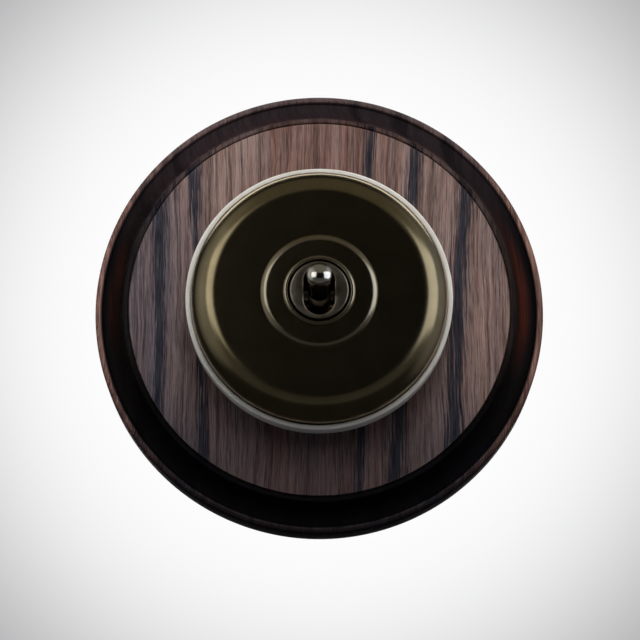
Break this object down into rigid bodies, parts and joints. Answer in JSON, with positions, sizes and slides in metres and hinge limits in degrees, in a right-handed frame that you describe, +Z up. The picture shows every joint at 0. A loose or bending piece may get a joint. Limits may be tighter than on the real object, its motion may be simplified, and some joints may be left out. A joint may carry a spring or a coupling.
{
  "type": "light switch",
  "caption": "Round toggle light switch: dark domed metal cover on a white porcelain base, mounted on a turned dark oak wall block, with a small metal lever in a slotted bush.",
  "frame": {"origin": "centre of the wooden block's back face, on the wall", "axes": "+Z up the wall, +Y into the wall, so that the switch faces -Y, +X to the right"},
  "size_m": [0.15, 0.0553, 0.15],
  "materials": {
    "stained_oak": "dark stained and polished open grain oak",
    "white_porcelain": "white gloss glaze",
    "antique_bronze": "satin dark bronze lacquer on spun brass",
    "dark_nickel": "satin dark nickel plate",
    "polished_nickel": "polished nickel plate",
    "zinc_steel": "zinc plated steel",
    "spring_steel": "drawn spring wire",
    "brass": "plain machined brass",
    "contact_silver": "silver alloy contact face",
    "black_moulding": "black phenolic moulding",
    "white_nylon": "natural nylon",
    "red_fibre": "vulcanised fibre"
  },
  "bodies": {
    "fixed": {"pattress": "stained_oak", "porcelain_base": "white_porcelain", "dome_cover": "antique_bronze", "base_screws": "zinc_steel", "base_washers": "red_fibre", "strap_screws": "zinc_steel", "strap_nuts": "zinc_steel", "switch_strap": "zinc_steel", "dolly_bush": "dark_nickel", "bush_nut": "brass", "pivot_pin": "zinc_steel", "rocker_pin": "zinc_steel", "common_bracket": "brass", "throw_contact_lower": "brass", "throw_contact_upper": "brass", "fixed_contacts": "contact_silver", "switch_case": "black_moulding", "case_rivets": "brass", "terminal_lower": "brass", "terminal_common": "brass", "terminal_upper": "brass", "terminal_screws": "zinc_steel", "earth_terminal": "brass", "earth_screw": "zinc_steel"},
    "lever": {"dolly": "polished_nickel", "plunger_spring": "spring_steel"},
    "plunger_body": {"plunger": "white_nylon"},
    "rocker_body": {"rocker": "brass", "moving_contacts": "contact_silver"}
  },
  "joints": [
    {"name": "lever_tilt", "type": "hinge", "parent": "fixed", "child": "lever", "pos_m": [0, -0.0363, 0], "axis": [1, 0, 0], "range_deg": [0, 24]},
    {"name": "rocker_tilt", "type": "hinge", "parent": "fixed", "child": "rocker_body", "pos_m": [0, -0.022, 0], "axis": [1, 0, 0], "range_deg": [-20, 0]},
    {"name": "plunger_slide", "type": "slide", "parent": "lever", "child": "plunger_body", "axis": [0, -0.9781, 0.2079], "range_m": [0, 0.0005], "stiffness_N_per_m": 200, "springref_m": -0.001, "deforming": ["plunger_spring"]}
  ],
  "couplings": [
    {"joint": "rocker_tilt", "follows": "lever_tilt", "ratio": -0.83333}
  ]
}
